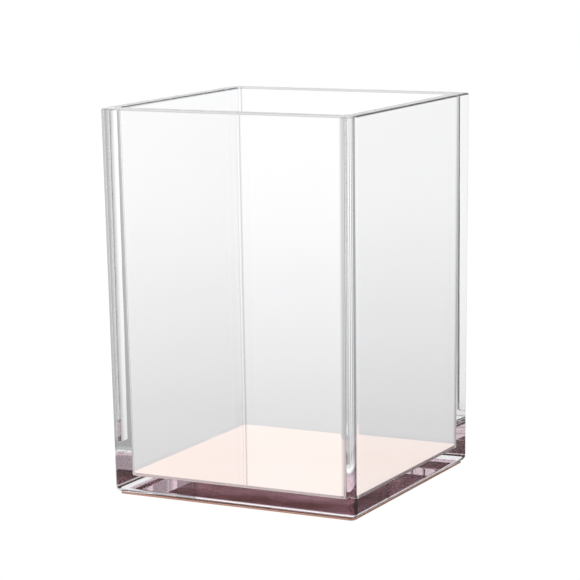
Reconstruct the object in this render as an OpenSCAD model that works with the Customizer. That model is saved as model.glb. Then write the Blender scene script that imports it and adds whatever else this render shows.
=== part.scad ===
// Square pen holder cup: one clear acrylic moulding with drafted walls, a mirror sheet
// on its floor and a second mirror sheet under its base, each held by a film of adhesive.
// Millimetres. +Z is up; the origin is the middle of the underside.

/* [Cup] */
// Overall height, from the table to the rim
cup_h = 100; // [60:1:160]
// Outer width at the rim
rim_w = 71.1; // [50:0.1:120]
// How much further in the outside is at the base than at the rim, per side
outer_draft = 0.94; // [0.2:0.02:2]
// Wall thickness at the rim
rim_wall = 3.9; // [2:0.1:6]
// Wall thickness at the floor of the cavity
foot_wall = 3.85; // [2.5:0.05:6]
// Thickness of the clear base
base_t = 4.1; // [3:0.1:8]

/* [Rounding] */
// Radius of the four outer corners
corner_r = 1.5; // [0.5:0.1:4]
// Radius of the four corners inside the cavity
cavity_r = 1.3; // [0.5:0.1:4]
// Radius of the outer edge round the base
base_edge_r = 1.6; // [0.5:0.1:2.5]
// Radius of the edge between the walls and the floor of the cavity
floor_edge_r = 0.3; // [0.2:0.1:0.5]
// Radius of both edges of the rim
rim_edge_r = 0.6; // [0.2:0.1:0.9]

/* [Mirror sheets] */
// Thickness of the mirror sheet on the floor of the cavity
floor_sheet_t = 0.8; // [0.5:0.1:1.5]
// Thickness of the mirror sheet under the base
base_sheet_t = 0.5; // [0.3:0.1:1.5]
// Thickness of each film of adhesive
adhesive_t = 0.1; // [0.05:0.05:0.2]
// Gap between the floor sheet and the cavity walls
floor_sheet_gap = 0.15; // [0.15:0.05:0.5]
// Radius of the floor sheet's corners
floor_sheet_r = 1.3; // [0.5:0.1:3]
// How far the base sheet's edge lies inside the outline of the cup
base_sheet_inset = 1.0; // [0.3:0.1:1.5]
// Radius of the base sheet's corners
base_sheet_r = 1.2; // [0.5:0.1:5]
// How far each film of adhesive stops short of the flat that it holds to
adhesive_inset = 0.3; // [0.1:0.1:2]

/* [Hidden] */

// Facets round a full circle, on the rounded shell and on the flat sheets
shell_facets = 32;
sheet_facets = 64;
// Steps across each rounded edge of the shell, and across the flare of the mouth
edge_steps = 6;
mouth_steps = 3;
// Height of the thin discs that the shell is stretched over
disc_h = 0.01;

// Levels, from the table up
body_z = base_sheet_t + adhesive_t;
floor_z = body_z + base_t;
floor_sheet_z = floor_z + adhesive_t;

// Half widths of the outside and of the cavity at a height, both drafted
cavity_draft = foot_wall - rim_wall + outer_draft * (cup_h - floor_z) / cup_h;
function outer_half(z) = rim_w / 2 - outer_draft * (cup_h - z) / cup_h;
function cavity_half(z) =
    rim_w / 2 - rim_wall - cavity_draft * (cup_h - z) / (cup_h - floor_z);

clear_acrylic = [0.93, 0.96, 0.97, 0.35];
clear_adhesive = [0.96, 0.93, 0.88, 0.5];
rose_gold = [0.93, 0.74, 0.68];

// Four upright discs, one at each corner of a square with rounded corners
module corner_discs(half, r, z) {
    for (x = [-1, 1], y = [-1, 1])
        translate([x * (half - r), y * (half - r), z])
            cylinder(r = r, h = disc_h, $fn = shell_facets);
}

// Flat square plate with rounded corners, standing on the plane z
module plate(half, r, z, h) {
    translate([0, 0, z])
        linear_extrude(h)
            union() {
                square([2 * half, 2 * (half - r)], center = true);
                square([2 * (half - r), 2 * half], center = true);
                for (x = [-1, 1], y = [-1, 1])
                    translate([x * (half - r), y * (half - r)])
                        circle(r = r, $fn = sheet_facets);
            }
}

// Outside of the moulding: rounded base edge, drafted walls, rounded rim edge
module outer_shape() {
    foot_half = outer_half(body_z + base_edge_r);
    hull() {
        for (i = [0 : edge_steps]) {
            a = 90 * i / edge_steps;
            inset = base_edge_r * (1 - sin(a));
            corner_discs(
                foot_half - inset,
                max(corner_r - inset, disc_h),
                body_z + base_edge_r * (1 - cos(a))
            );
        }
        for (i = [0 : edge_steps]) {
            a = 90 * i / edge_steps;
            inset = rim_edge_r * (1 - cos(a));
            corner_discs(
                outer_half(cup_h - rim_edge_r) - inset,
                corner_r - inset,
                cup_h - disc_h - rim_edge_r * (1 - sin(a))
            );
        }
    }
}

// Space inside the walls: rounded floor edge and drafted walls, open above the rim
module cavity_shape() {
    foot_half = cavity_half(floor_z + floor_edge_r);
    hull() {
        for (i = [0 : edge_steps]) {
            a = 90 * i / edge_steps;
            inset = floor_edge_r * (1 - sin(a));
            corner_discs(
                foot_half - inset,
                cavity_r - inset,
                floor_z + floor_edge_r * (1 - cos(a))
            );
        }
        corner_discs(cavity_half(cup_h), cavity_r, cup_h + disc_h);
    }
}

// Corner discs of the flared mouth, at an angle round the inner edge of the rim
module mouth_discs(a) {
    flare = rim_edge_r * (1 - cos(a));
    corner_discs(cavity_half(cup_h) + flare, cavity_r + flare, cup_h - rim_edge_r * (1 - sin(a)));
}

// Flared mouth, which rounds the inner edge of the rim
module mouth_shape() {
    for (i = [0 : mouth_steps - 1])
        hull() {
            mouth_discs(90 * i / mouth_steps);
            mouth_discs(90 * (i + 1) / mouth_steps);
        }
}

// Clear moulding: four walls and a thick base in one piece
module cup_body() {
    color(clear_acrylic)
        difference() {
            outer_shape();
            cavity_shape();
            mouth_shape();
        }
}

// Film that holds the floor sheet down
module floor_adhesive() {
    color(clear_adhesive)
        plate(
            cavity_half(floor_z + floor_edge_r) - floor_edge_r - adhesive_inset,
            floor_sheet_r,
            floor_z,
            adhesive_t
        );
}

// Mirror sheet on the floor of the cavity, mirror side up
module floor_mirror() {
    color(rose_gold)
        plate(
            cavity_half(floor_z + floor_edge_r) - floor_sheet_gap,
            floor_sheet_r,
            floor_sheet_z,
            floor_sheet_t
        );
}

// Film that holds the base sheet up against the moulding
module base_adhesive() {
    color(clear_adhesive)
        plate(
            outer_half(body_z + base_edge_r) - base_edge_r - adhesive_inset,
            base_sheet_r,
            base_sheet_t,
            adhesive_t
        );
}

// Mirror sheet under the base, which the cup stands on
module base_mirror() {
    color(rose_gold)
        plate(outer_half(body_z) - base_sheet_inset, base_sheet_r, 0, base_sheet_t);
}

cup_body();
floor_adhesive();
floor_mirror();
base_adhesive();
base_mirror();
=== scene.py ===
"""Looks of a square clear pen holder cup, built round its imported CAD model.

Metres, +Z up, with the origin in the middle of the underside.
Every place and size on the cup comes from the CAD nodes, apart from those named below.
"""

import math

import bpy
from mathutils import Matrix, Vector


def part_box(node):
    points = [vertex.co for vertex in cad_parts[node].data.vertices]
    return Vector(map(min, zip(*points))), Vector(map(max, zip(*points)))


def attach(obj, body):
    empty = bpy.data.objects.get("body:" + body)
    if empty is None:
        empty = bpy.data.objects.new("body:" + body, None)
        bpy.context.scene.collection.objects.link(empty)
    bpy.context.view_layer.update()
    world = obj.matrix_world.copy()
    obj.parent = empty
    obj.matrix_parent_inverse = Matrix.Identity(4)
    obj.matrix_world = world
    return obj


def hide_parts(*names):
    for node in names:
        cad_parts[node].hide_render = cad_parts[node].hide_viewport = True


MM = 0.001
QUARTER_TURN = math.pi / 2

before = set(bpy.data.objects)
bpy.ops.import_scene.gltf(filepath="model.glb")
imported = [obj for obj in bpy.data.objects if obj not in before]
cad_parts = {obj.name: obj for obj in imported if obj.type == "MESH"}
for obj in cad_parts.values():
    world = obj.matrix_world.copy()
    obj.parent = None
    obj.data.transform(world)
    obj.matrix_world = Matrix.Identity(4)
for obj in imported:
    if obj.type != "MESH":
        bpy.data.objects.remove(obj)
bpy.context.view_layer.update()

# ---------------------------------------------------------------- sizes

# Radii of the moulding's upright corners and rounded edges
CORNER_R = 1.5 * MM
CAVITY_R = 1.3 * MM
BASE_EDGE_R = 1.6 * MM
FLOOR_EDGE_R = 0.3 * MM
RIM_EDGE_R = 0.6 * MM

# The mirror sheets' corners, seen from above, and their softened edges
FLOOR_SHEET_R = 1.3 * MM
BASE_SHEET_R = 1.2 * MM
SHEET_EDGE_R = 0.08 * MM

# How far the outside leans in from the rim to the table, and the walls' thickness at both ends
OUTER_DRAFT = 0.94 * MM
RIM_WALL = 3.9 * MM
FOOT_WALL = 3.85 * MM

# How far the clear moulding reaches into each mirror sheet, so that no air lies between them
BOND = 0.02 * MM

# Least radius of a corner where an edge curves in under it
LEAST_CORNER_R = 0.02 * MM

# Steps round each rounded edge of the moulding and of the sheets, and round each corner seen from above
EDGE_STEPS = 16
SHEET_EDGE_STEPS = 4
CORNER_STEPS = 12

body_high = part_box("cup_body")[1]
adhesive_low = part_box("floor_adhesive")[0]
floor_low, floor_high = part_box("floor_mirror")
base_low, base_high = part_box("base_mirror")

height = body_high.z
cavity_floor_z = adhesive_low.z


# ---------------------------------------------------------------- objects and meshes


def add_object(name, data):
    """A new object in the scene."""
    thing = bpy.data.objects.new(name, data)
    bpy.context.scene.collection.objects.link(thing)
    return thing


def outline(half, radius):
    """Points and outward directions round a square with rounded corners, anticlockwise."""
    places = []
    for quarter in range(4):
        side_x = 1 if quarter in (0, 3) else -1
        side_y = 1 if quarter in (0, 1) else -1
        centre = Vector((side_x * (half - radius), side_y * (half - radius)))
        for step in range(CORNER_STEPS + 1):
            angle = QUARTER_TURN * (quarter + step / CORNER_STEPS)
            way = Vector((math.cos(angle), math.sin(angle)))
            places.append((centre + radius * way, way))
    return places


class Wall:
    """Four upright or drafted faces round a square with rounded corners."""

    def __init__(self, half_low, z_low, half_high, z_high, corner_r):
        self.half_low = half_low
        self.z_low = z_low
        self.slope = (half_high - half_low) / (z_high - z_low)
        self.corner_r = corner_r

    def half(self, z):
        """Half width at a height."""
        return self.half_low + self.slope * (z - self.z_low)

    def edge(self, centre_z, radius, start, end, side=-1, hollow=False, steps=EDGE_STEPS):
        """Rings along a rounded edge that touches the wall, between two angles above the level.

        The edge's centre lies inside the wall's outline if side is -1, and outside if it is 1.
        The surface faces away from that centre, or towards it if the edge is hollow.
        """
        centre = self.half(centre_z) + side * radius * math.hypot(1, self.slope)
        for step in range(steps + 1):
            angle = start + (end - start) * step / steps
            half = centre + radius * math.cos(angle)
            z = centre_z + radius * math.sin(angle)
            corner_r = max(self.corner_r + half - self.half(z), LEAST_CORNER_R)
            yield half, corner_r, z, angle + (math.pi if hollow else 0)


def loft(name, rings, materials, face_material=lambda band: 0):
    """Closed mesh through square rings, each given as (half width, corner radius, height, lean).

    Lean is the angle above the level at which the surface faces, and sets each point's normal.
    face_material takes the number of the band and gives the number of its material; the first
    and last face, which close the mesh, are bands -1 and len(rings) - 1.
    """
    points, normals, faces, numbers = [], [], [], []
    for half, radius, z, lean in rings:
        for place, way in outline(half, radius):
            points.append((place.x, place.y, z))
            normals.append((way * math.cos(lean)).to_3d() + Vector((0, 0, math.sin(lean))))
    count = len(points) // len(rings)
    for band in range(len(rings) - 1):
        first, second = band * count, (band + 1) * count
        for i in range(count):
            j = (i + 1) % count
            faces.append((first + i, first + j, second + j, second + i))
            numbers.append(face_material(band))
    faces.append(tuple(reversed(range(count))))
    numbers.append(face_material(-1))
    faces.append(tuple(range(len(points) - count, len(points))))
    numbers.append(face_material(len(rings) - 1))
    mesh = bpy.data.meshes.new(name)
    mesh.from_pydata(points, [], faces)
    for material in materials:
        mesh.materials.append(material)
    for polygon, number in zip(mesh.polygons, numbers):
        polygon.material_index = number
        polygon.use_smooth = True
    mesh.normals_split_custom_set_from_vertices(normals)
    return add_object(name, mesh)


# ---------------------------------------------------------------- materials

ACRYLIC_IOR = 1.49
LACQUER_IOR = 1.5

# The range that a noise texture's value mostly keeps to
NOISE_LOW = 0.3
NOISE_HIGH = 0.7


def new_material(name):
    """A new material, its node tree and its Principled shader."""
    material = bpy.data.materials.new(name)
    material.use_nodes = True
    tree = material.node_tree
    return material, tree, tree.nodes["Principled BSDF"]


def noise(tree, scale, low=0.0, high=1.0, detail=2.0):
    """A number that drifts between low and high over the object; scale is in waves to the metre."""
    coordinates = tree.nodes.new("ShaderNodeTexCoord")
    texture = tree.nodes.new("ShaderNodeTexNoise")
    texture.inputs["Scale"].default_value = scale
    texture.inputs["Detail"].default_value = detail
    spread = tree.nodes.new("ShaderNodeMapRange")
    spread.inputs["From Min"].default_value = NOISE_LOW
    spread.inputs["From Max"].default_value = NOISE_HIGH
    spread.inputs["To Min"].default_value = low
    spread.inputs["To Max"].default_value = high
    tree.links.new(coordinates.outputs["Object"], texture.inputs["Vector"])
    tree.links.new(texture.outputs["Fac"], spread.inputs["Value"])
    return spread.outputs["Result"]


def two_tone(tree, factor, first, second):
    """A colour between two colours."""
    mix = tree.nodes.new("ShaderNodeMix")
    mix.data_type = "RGBA"
    mix.inputs["A"].default_value = (*first, 1)
    mix.inputs["B"].default_value = (*second, 1)
    tree.links.new(factor, mix.inputs["Factor"])
    return mix.outputs["Result"]


def ripple(tree, shader, scale, depth):
    """Waves on a surface, of a depth in metres."""
    bump = tree.nodes.new("ShaderNodeBump")
    bump.inputs["Strength"].default_value = 1.0
    bump.inputs["Distance"].default_value = depth
    tree.links.new(noise(tree, scale, detail=1.0), bump.inputs["Height"])
    tree.links.new(bump.outputs["Normal"], shader.inputs["Normal"])


def clear_acrylic():
    """Clear polished acrylic, with the slight waviness of a moulding and faint hairline dust."""
    material, tree, shader = new_material("clear_acrylic")
    shader.inputs["IOR"].default_value = ACRYLIC_IOR
    shader.inputs["Transmission Weight"].default_value = 1.0
    tint = two_tone(tree, noise(tree, scale=40), (1.0, 1.0, 1.0), (0.994, 0.994, 0.994))
    tree.links.new(tint, shader.inputs["Base Color"])
    tree.links.new(noise(tree, scale=300, high=0.008), shader.inputs["Roughness"])
    ripple(tree, shader, scale=90, depth=0.002 * MM)
    return material


def clear_adhesive():
    """Clear film with a faint haze, and tiny bubbles where it has not wetted the sheet."""
    material, tree, shader = new_material("clear_adhesive")
    shader.inputs["Base Color"].default_value = (0.95, 0.92, 0.9, 1)
    tree.links.new(noise(tree, scale=700, low=0.2, high=0.5), shader.inputs["Roughness"])
    tree.links.new(noise(tree, scale=900, high=0.05, detail=3.0), shader.inputs["Alpha"])
    return material


def metal(name, tints, low_angle, roughness, mottled=None):
    """Metal that drifts between two tints and between two roughnesses.

    low_angle is its colour at a low angle, where plain metal would turn white. A second such
    colour, mottled, spreads over that in patches, as on an uneven coat.
    """
    material, tree, shader = new_material(name)
    shader.inputs["Metallic"].default_value = 1.0
    if mottled:
        patches = two_tone(tree, noise(tree, scale=55, low=-0.4), low_angle, mottled)
        tree.links.new(patches, shader.inputs["Specular Tint"])
    else:
        shader.inputs["Specular Tint"].default_value = (*low_angle, 1)
    tree.links.new(two_tone(tree, noise(tree, scale=25), *tints), shader.inputs["Base Color"])
    smoothest, roughest = roughness
    gloss = noise(tree, scale=220, low=smoothest, high=roughest)
    tree.links.new(gloss, shader.inputs["Roughness"])
    return material


def sheet_back_lacquer():
    """Dull, uneven metallic lacquer on the back of the floor sheet."""
    return metal(
        "sheet_back_lacquer",
        tints=((0.36, 0.24, 0.27), (0.50, 0.38, 0.42)),
        low_angle=(0.40, 0.25, 0.22),
        roughness=(0.15, 0.22),
        mottled=(0.80, 0.64, 0.68),
    )


def sheet_cut_edge():
    """Pale pink metallic cut edge of the floor sheet."""
    return metal(
        "sheet_cut_edge",
        tints=((0.80, 0.66, 0.66), (0.90, 0.78, 0.77)),
        low_angle=(0.9, 0.75, 0.75),
        roughness=(0.1, 0.3),
    )


def rose_gold_mirror():
    """Pale rose-gold mirror face of the floor sheet."""
    return metal(
        "rose_gold_mirror",
        tints=((0.98, 0.78, 0.70), (0.99, 0.81, 0.74)),
        low_angle=(1.0, 1.0, 1.0),
        roughness=(0.0, 0.02),
    )


def base_back_lacquer():
    """Copper-coloured lacquer on the underside of the base sheet."""
    material, tree, shader = new_material("base_back_lacquer")
    shader.inputs["IOR"].default_value = LACQUER_IOR
    tint = two_tone(tree, noise(tree, scale=60), (0.50, 0.27, 0.19), (0.58, 0.33, 0.24))
    tree.links.new(tint, shader.inputs["Base Color"])
    tree.links.new(noise(tree, scale=240, low=0.2, high=0.35), shader.inputs["Roughness"])
    return material


def copper_edge():
    """Copper-coloured cut edge of the base sheet."""
    return metal(
        "copper_edge",
        tints=((0.60, 0.33, 0.25), (0.69, 0.41, 0.32)),
        low_angle=(0.9, 0.8, 0.75),
        roughness=(0.25, 0.4),
    )


def base_mirror_painted_shade():
    """Rose-gold mirror face of the base sheet, seen through the thick clear base, with painted shade: its
    tints are darker and more purple than the floor sheet's mirror, standing in for the dim light inside
    the base.
    """
    return metal(
        "base_mirror_painted_shade",
        # Tints and low-angle colour darker and more purple than the floor sheet's mirror: painted shade
        tints=((0.80, 0.62, 0.60), (0.83, 0.66, 0.66)),
        low_angle=(0.78, 0.68, 0.76),
        roughness=(0.0, 0.03),
    )


# ---------------------------------------------------------------- pieces


def make_body():
    """Clear moulding: base edge, outer walls, rim, cavity walls and the cavity's floor edge."""
    bottom = base_high.z - BOND
    floor = floor_low.z + BOND
    outer = Wall(body_high.x - OUTER_DRAFT, 0, body_high.x, height, CORNER_R)
    foot_half = outer.half(cavity_floor_z) - FOOT_WALL
    inner = Wall(foot_half, cavity_floor_z, body_high.x - RIM_WALL, height, CAVITY_R)
    outer_lean = -math.atan(outer.slope)
    inner_lean = math.atan(inner.slope)
    rim_centre_z = height - RIM_EDGE_R
    floor_centre_z = floor + FLOOR_EDGE_R
    rings = [
        *outer.edge(bottom + BASE_EDGE_R, BASE_EDGE_R, -QUARTER_TURN, outer_lean),
        *outer.edge(rim_centre_z, RIM_EDGE_R, outer_lean, QUARTER_TURN),
        *inner.edge(rim_centre_z, RIM_EDGE_R, QUARTER_TURN, math.pi - inner_lean, side=1),
        *inner.edge(floor_centre_z, FLOOR_EDGE_R, -inner_lean, -QUARTER_TURN, hollow=True),
    ]
    return loft("cup_body_moulding", rings, [clear_acrylic()])


def make_sheet(name, low, high, corner_r, materials):
    """Flat sheet with softened edges: its underside, its cut edge and its face are three materials."""
    wall = Wall(high.x, low.z, high.x, high.z, corner_r)
    below = wall.edge(low.z + SHEET_EDGE_R, SHEET_EDGE_R, -QUARTER_TURN, 0, steps=SHEET_EDGE_STEPS)
    above = wall.edge(high.z - SHEET_EDGE_R, SHEET_EDGE_R, 0, QUARTER_TURN, steps=SHEET_EDGE_STEPS)
    rings = [*below, *above]
    face_band = len(rings) - 1

    def face_material(band):
        if band < 0:
            return 0
        return 2 if band == face_band else 1

    return loft(name, rings, materials, face_material)


def make_floor_sheet():
    """Mirror sheet on the floor of the cavity."""
    materials = [sheet_back_lacquer(), sheet_cut_edge(), rose_gold_mirror()]
    return make_sheet("floor_mirror_sheet", floor_low, floor_high, FLOOR_SHEET_R, materials)


def make_base_sheet():
    """Mirror sheet under the base."""
    materials = [base_back_lacquer(), copper_edge(), base_mirror_painted_shade()]
    return make_sheet("base_mirror_sheet", base_low, base_high, BASE_SHEET_R, materials)


for piece, node, slot in (
    (make_body(), "cup_body", "clear_acrylic"),
    (make_floor_sheet(), "floor_mirror", "rose_gold_mirror"),
    (make_base_sheet(), "base_mirror", "copper_backed_mirror"),
):
    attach(piece, "root")
    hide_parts(node)

adhesive = clear_adhesive()
for node in ("floor_adhesive", "base_adhesive"):
    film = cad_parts[node]
    film.data.materials.clear()
    film.data.materials.append(adhesive)

# ---------------------------------------------------------------- studio

# Brightness of the studio round the horizon, by azimuth in degrees from +X towards +Y
AROUND = (
    (-180, 0.6),
    (-165, 0.7),
    (-150, 1.1),  # soft light on the left
    (-130, 1.3),
    (-122, 0.85),
    (-117, 0.68),
    (-114, 1.0),  # strip light
    (-110, 0.8),
    (-102, 0.4),
    (-95, 0.2),  # dark card beside the camera
    (-85, 0.2),
    (-72, 0.7),
    (-60, 0.35),  # camera
    (-40, 0.65),
    (-10, 0.6),
    (10, 0.85),  # fill on the right
    (20, 0.85),
    (35, 0.8),
    (50, 0.48),
    (61, 0.44),
    (65, 0.4),  # dark card behind, on the right
    (80, 0.4),
    (92, 0.65),
    (105, 0.8),
    (113, 0.985),  # backdrop behind the cup
    (130, 1.01),
    (140, 0.8),
    (150, 0.4),
    (160, 0.25),  # dark card behind, on the left
    (170, 0.4),
    (180, 0.6),
)

# How much brighter or darker the studio is at each elevation, in degrees
UPWARD = (
    (-90, 0.9),
    (-40, 0.8),
    (-25, 0.75),
    (-16, 0.68),  # darkest, towards the table
    (-13, 0.79),
    (-11, 0.91),
    (-7.5, 1.06),
    (-5, 1.09),
    (10, 1.18),  # brightest, a little above the horizon
    (20, 1.15),
    (90, 1.0),
)

# How far the ceiling and the table even out what stands round the sides, at each elevation
EVENNESS = ((-90, 1), (-35, 1), (-16, 0), (20, 0), (45, 1), (90, 1))

# A very slightly cool light
LIGHT_COLOUR = (0.988, 0.99, 1, 1)

# Brightness of the plain white that the camera sees behind and under the cup
WHITE = 1.02

FLOOR_HALF = 500 * MM
FLOOR_Z = -0.02 * MM

# Where the camera stands, in degrees from -Y towards +X and up, and how far it is rolled
CAMERA_AZIMUTH = 27.515
CAMERA_ELEVATION = 9.593
CAMERA_ROLL = -0.849

# Its distance from the point that it stands round, and that point's height
CAMERA_DISTANCE = 627.1 * MM
CAMERA_AIM_Z = 49.77 * MM

# How far its view is turned off that point, to the right and up, as slopes
CAMERA_PAN = -0.00085
CAMERA_TILT = 0.00083

# In millimetres, as Blender's camera has them
CAMERA_LENS = 148.966
CAMERA_SENSOR = 36


def by_angle(tree, angle, reach, stops):
    """A grey that follows an angle in radians through (degrees, brightness) stops.

    Reach is the greatest angle in degrees, and the least is as far below zero.
    """
    scaled = tree.nodes.new("ShaderNodeMapRange")
    scaled.inputs["From Min"].default_value = -math.radians(reach)
    scaled.inputs["From Max"].default_value = math.radians(reach)
    tree.links.new(angle, scaled.inputs["Value"])
    ramp = tree.nodes.new("ShaderNodeValToRGB")
    elements = ramp.color_ramp.elements
    elements.remove(elements[-1])
    for number, (degrees, value) in enumerate(stops):
        place = (degrees + reach) / (2 * reach)
        element = elements[0] if number == 0 else elements.new(place)
        element.position = place
        element.color = (value, value, value, 1)
    tree.links.new(scaled.outputs["Result"], ramp.inputs["Fac"])
    return ramp.outputs["Color"]


def calculate(tree, operation, *values):
    """The result of a Math node on other nodes' outputs."""
    node = tree.nodes.new("ShaderNodeMath")
    node.operation = operation
    for number, value in enumerate(values):
        tree.links.new(value, node.inputs[number])
    return node.outputs["Value"]


def blend(tree, factor, value, constant):
    """A number that goes from a node's output to a constant as the factor goes from 0 to 1."""
    mix = tree.nodes.new("ShaderNodeMix")
    mix.inputs["B"].default_value = constant
    tree.links.new(factor, mix.inputs["Factor"])
    tree.links.new(value, mix.inputs["A"])
    return mix.outputs["Result"]


def make_world():
    """Backdrop behind the cup, soft lights at its sides and dark cards between them.

    The camera itself sees plain white, because the photograph's background is cut out.
    """
    world = bpy.data.worlds.new("studio")
    bpy.context.scene.world = world
    world.use_nodes = True
    tree = world.node_tree
    coordinates = tree.nodes.new("ShaderNodeTexCoord")
    split = tree.nodes.new("ShaderNodeSeparateXYZ")
    tree.links.new(coordinates.outputs["Generated"], split.inputs["Vector"])
    azimuth = calculate(tree, "ARCTAN2", split.outputs["Y"], split.outputs["X"])
    elevation = calculate(tree, "ARCSINE", split.outputs["Z"])
    around = by_angle(tree, azimuth, 180, AROUND)
    upward = by_angle(tree, elevation, 90, UPWARD)
    evenness = by_angle(tree, elevation, 90, EVENNESS)
    light = calculate(tree, "MULTIPLY", blend(tree, evenness, around, 1), upward)
    path = tree.nodes.new("ShaderNodeLightPath")
    shown = blend(tree, path.outputs["Is Camera Ray"], light, WHITE)
    background = tree.nodes["Background"]
    background.inputs["Color"].default_value = LIGHT_COLOUR
    tree.links.new(shown, background.inputs["Strength"])


def floor_material():
    """White on its upper face for the camera alone, and clear for every other ray and from below."""
    material = bpy.data.materials.new("studio_floor")
    material.use_nodes = True
    tree = material.node_tree
    tree.nodes.clear()
    white = tree.nodes.new("ShaderNodeEmission")
    white.inputs["Strength"].default_value = WHITE
    clear = tree.nodes.new("ShaderNodeBsdfTransparent")
    path = tree.nodes.new("ShaderNodeLightPath")
    side = tree.nodes.new("ShaderNodeNewGeometry")
    shown = calculate(tree, "GREATER_THAN", path.outputs["Is Camera Ray"], side.outputs["Backfacing"])
    choice = tree.nodes.new("ShaderNodeMixShader")
    output = tree.nodes.new("ShaderNodeOutputMaterial")
    tree.links.new(shown, choice.inputs["Fac"])
    tree.links.new(clear.outputs["BSDF"], choice.inputs[1])
    tree.links.new(white.outputs["Emission"], choice.inputs[2])
    tree.links.new(choice.outputs["Shader"], output.inputs["Surface"])
    return material


def make_floor():
    """Plain white floor, which takes no shadow, because the photograph has none.

    It lies just below the cup, and from below it doesn't hide the cup's underside.
    """
    mesh = bpy.data.meshes.new("studio_floor")
    corners = [(x * FLOOR_HALF, y * FLOOR_HALF, FLOOR_Z) for x, y in ((-1, -1), (1, -1), (1, 1), (-1, 1))]
    mesh.from_pydata(corners, [], [(0, 1, 2, 3)])
    mesh.materials.append(floor_material())
    floor = add_object("studio_floor", mesh)


def make_camera():
    """Camera at the photograph's viewing angle, tilted a touch as the photograph is."""
    azimuth, elevation, roll = map(math.radians, (CAMERA_AZIMUTH, CAMERA_ELEVATION, CAMERA_ROLL))
    back = Vector(
        (
            math.sin(azimuth) * math.cos(elevation),
            -math.cos(azimuth) * math.cos(elevation),
            math.sin(elevation),
        )
    )
    right = back.cross(Vector((0, 0, -1))).normalized()
    up = back.cross(right)
    ahead = (right * CAMERA_PAN + up * CAMERA_TILT - back).normalized()
    right = ahead.cross(Vector((0, 0, 1))).normalized()
    up = right.cross(ahead)
    level = Matrix((right, up, -ahead)).transposed()
    turned = level @ Matrix.Rotation(roll, 3, "Z")
    place = Vector((0, 0, CAMERA_AIM_Z)) + back * CAMERA_DISTANCE
    data = bpy.data.cameras.new("camera")
    data.sensor_width = CAMERA_SENSOR
    data.lens = CAMERA_LENS
    data.clip_start = 10 * MM
    camera = add_object("camera", data)
    camera.matrix_world = Matrix.Translation(place) @ turned.to_4x4()
    bpy.context.scene.camera = camera


def set_view_and_bounces():
    """White shown as white, and enough bounces for light to find its way through the clear base."""
    scene = bpy.context.scene
    scene.view_settings.view_transform = "Standard"
    scene.cycles.use_denoising = True
    scene.cycles.max_bounces = 32
    scene.cycles.transmission_bounces = 32
    scene.cycles.glossy_bounces = 16
    scene.cycles.diffuse_bounces = 4
    scene.cycles.transparent_max_bounces = 16


make_world()
make_floor()
make_camera()
set_view_and_bounces()
